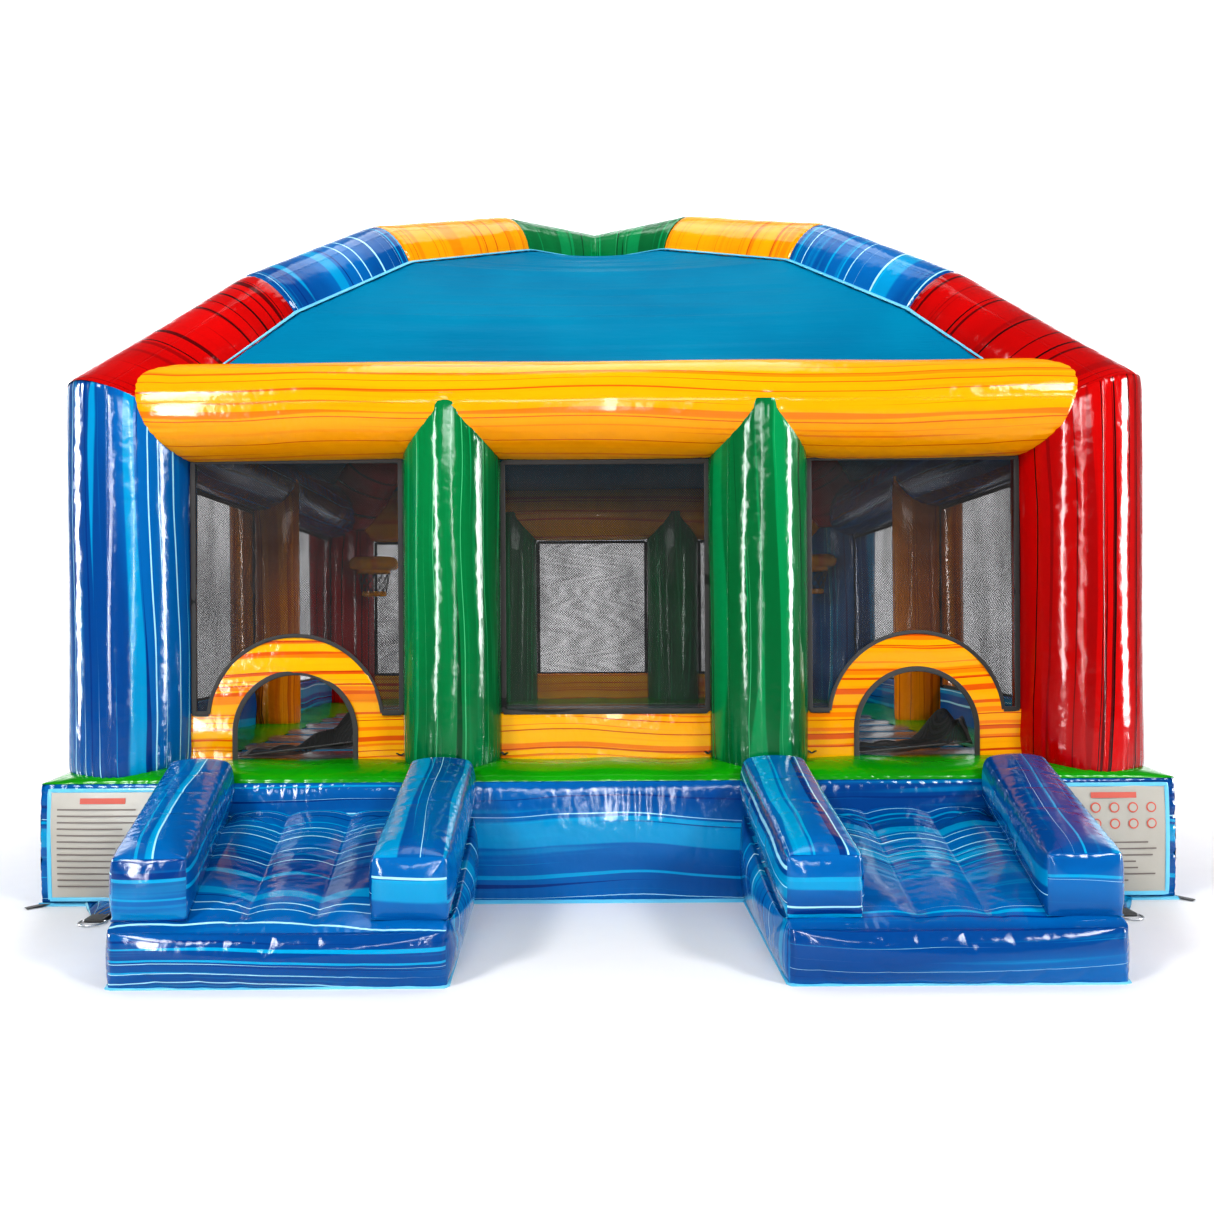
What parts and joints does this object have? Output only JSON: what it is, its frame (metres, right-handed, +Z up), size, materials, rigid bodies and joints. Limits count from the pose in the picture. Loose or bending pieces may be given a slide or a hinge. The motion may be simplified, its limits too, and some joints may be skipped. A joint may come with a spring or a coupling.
{
  "type": "inflatable bounce house",
  "caption": "Inflatable bounce house with entrance ramps, mesh windows, basketball hoops, a crossed-arch roof and a blower.",
  "frame": {"origin": "on the ground at the centre of the square mattress", "axes": "+Z up, +Y from the entrances towards the back and the blower, +X to the right as seen from the entrances"},
  "size_m": [6.1, 9.011, 4.6863],
  "materials": {
    "vinyl_blue": "glossy coated vinyl with a printed streak pattern",
    "vinyl_red": "glossy coated vinyl with dark streaks",
    "vinyl_yellow": "glossy coated vinyl with orange streaks",
    "vinyl_green": "glossy coated vinyl with dark and light streaks",
    "vinyl_lime": "glossy plain coated vinyl",
    "floor_grey": "glossy plain coated vinyl",
    "roof_blue": "thin coated roof fabric",
    "mesh_black": "knitted safety netting",
    "binding_black": "woven edge tape",
    "sign_white": "blank sign pouch",
    "webbing_black": "woven polyester webbing",
    "steel": "zinc-plated steel",
    "zip_black": "moulded zip",
    "blower_shell": "rotomoulded polyethylene",
    "blower_dark": "black powder coat",
    "blower_metal": "cast aluminium"
  },
  "bodies": {
    "house": {"base_bottom": "vinyl_blue", "base_walls": "vinyl_blue", "floor_baffles": "vinyl_blue", "floor_surface": "floor_grey", "floor_border": "vinyl_lime", "arch_lower_segments": "vinyl_red", "arch_middle_segments": "vinyl_blue", "arch_upper_segments": "vinyl_yellow", "arch_crown": "vinyl_green", "posts_front": "vinyl_green", "posts_back": "vinyl_green", "posts_side": "vinyl_yellow", "half_walls_front_back": "vinyl_yellow", "half_walls_side": "vinyl_blue", "windows_front": "mesh_black", "windows_back": "mesh_black", "windows_side": "mesh_black", "window_bindings": "binding_black", "safety_signs": "sign_white", "anchor_straps": "webbing_black", "zip_tape": "zip_black", "inflation_sleeve": "vinyl_blue", "sleeve_strap": "webbing_black", "blower_housing": "blower_shell", "blower_motor": "blower_metal", "blower_grille": "blower_dark", "blower_frame": "blower_dark", "column_front_left": "vinyl_blue", "column_front_right": "vinyl_red", "column_back_right": "vinyl_blue", "column_back_left": "vinyl_red", "beam_front": "vinyl_yellow", "beam_back": "vinyl_yellow", "beam_left": "vinyl_blue", "beam_right": "vinyl_blue", "roof_front": "roof_blue", "roof_right": "roof_blue", "roof_back": "roof_blue", "roof_left": "roof_blue", "door_panel_left": "vinyl_yellow", "hoop_left": "vinyl_yellow", "hoop_net_left": "mesh_black", "ramp_left": "vinyl_blue", "bolsters_left": "vinyl_blue", "door_panel_right": "vinyl_yellow", "hoop_right": "vinyl_yellow", "hoop_net_right": "mesh_black", "ramp_right": "vinyl_blue", "bolsters_right": "vinyl_blue"},
    "door_flap_left": {"door_flap_left": "mesh_black"},
    "door_flap_right": {"door_flap_right": "mesh_black"},
    "zip_slider": {"zip_slider": "zip_black"},
    "zip_flap": {"zip_flap": "vinyl_blue"},
    "impeller": {"blower_impeller": "blower_dark"},
    "switch": {"blower_switch": "zip_black"},
    "d_ring_front_left": {"d_ring_front_left": "steel"},
    "d_ring_front_right": {"d_ring_front_right": "steel"},
    "d_ring_back_left": {"d_ring_back_left": "steel"},
    "d_ring_back_right": {"d_ring_back_right": "steel"}
  },
  "joints": [
    {"name": "left_door_flap_hinge", "type": "hinge", "parent": "house", "child": "door_flap_left", "pos_m": [-1.755, -2.7, 0.735], "axis": [1, 0, 0], "range_deg": [0, 90]},
    {"name": "right_door_flap_hinge", "type": "hinge", "parent": "house", "child": "door_flap_right", "pos_m": [1.755, -2.7, 0.735], "axis": [1, 0, 0], "range_deg": [0, 90]},
    {"name": "zip_slide", "type": "slide", "parent": "house", "child": "zip_slider", "axis": [1, 0, 0], "range_m": [0, 0.78]},
    {"name": "zip_flap_hem", "type": "hinge", "parent": "house", "child": "zip_flap", "pos_m": [-1.5, 3.0755, 0.215], "axis": [1, 0, 0], "range_deg": [0, 100]},
    {"name": "impeller_spin", "type": "hinge", "parent": "house", "child": "impeller", "pos_m": [1.5, 4.36, 0.3], "axis": [1, 0, 0], "continuous": true},
    {"name": "switch_rocker", "type": "hinge", "parent": "house", "child": "switch", "pos_m": [1.5, 4.61, 0.3], "axis": [1, 0, 0], "range_deg": [-8, 8]},
    {"name": "front_left_ring_swing", "type": "hinge", "parent": "house", "child": "d_ring_front_left", "pos_m": [-2.6, -3.38, 0.0096], "axis": [-1, 0, 0], "range_deg": [0, 150]},
    {"name": "front_right_ring_swing", "type": "hinge", "parent": "house", "child": "d_ring_front_right", "pos_m": [2.6, -3.38, 0.0096], "axis": [-1, 0, 0], "range_deg": [0, 150]},
    {"name": "back_left_ring_swing", "type": "hinge", "parent": "house", "child": "d_ring_back_left", "pos_m": [-2.6, 3.38, 0.0096], "axis": [1, 0, 0], "range_deg": [0, 150]},
    {"name": "back_right_ring_swing", "type": "hinge", "parent": "house", "child": "d_ring_back_right", "pos_m": [2.6, 3.38, 0.0096], "axis": [1, 0, 0], "range_deg": [0, 150]}
  ]
}
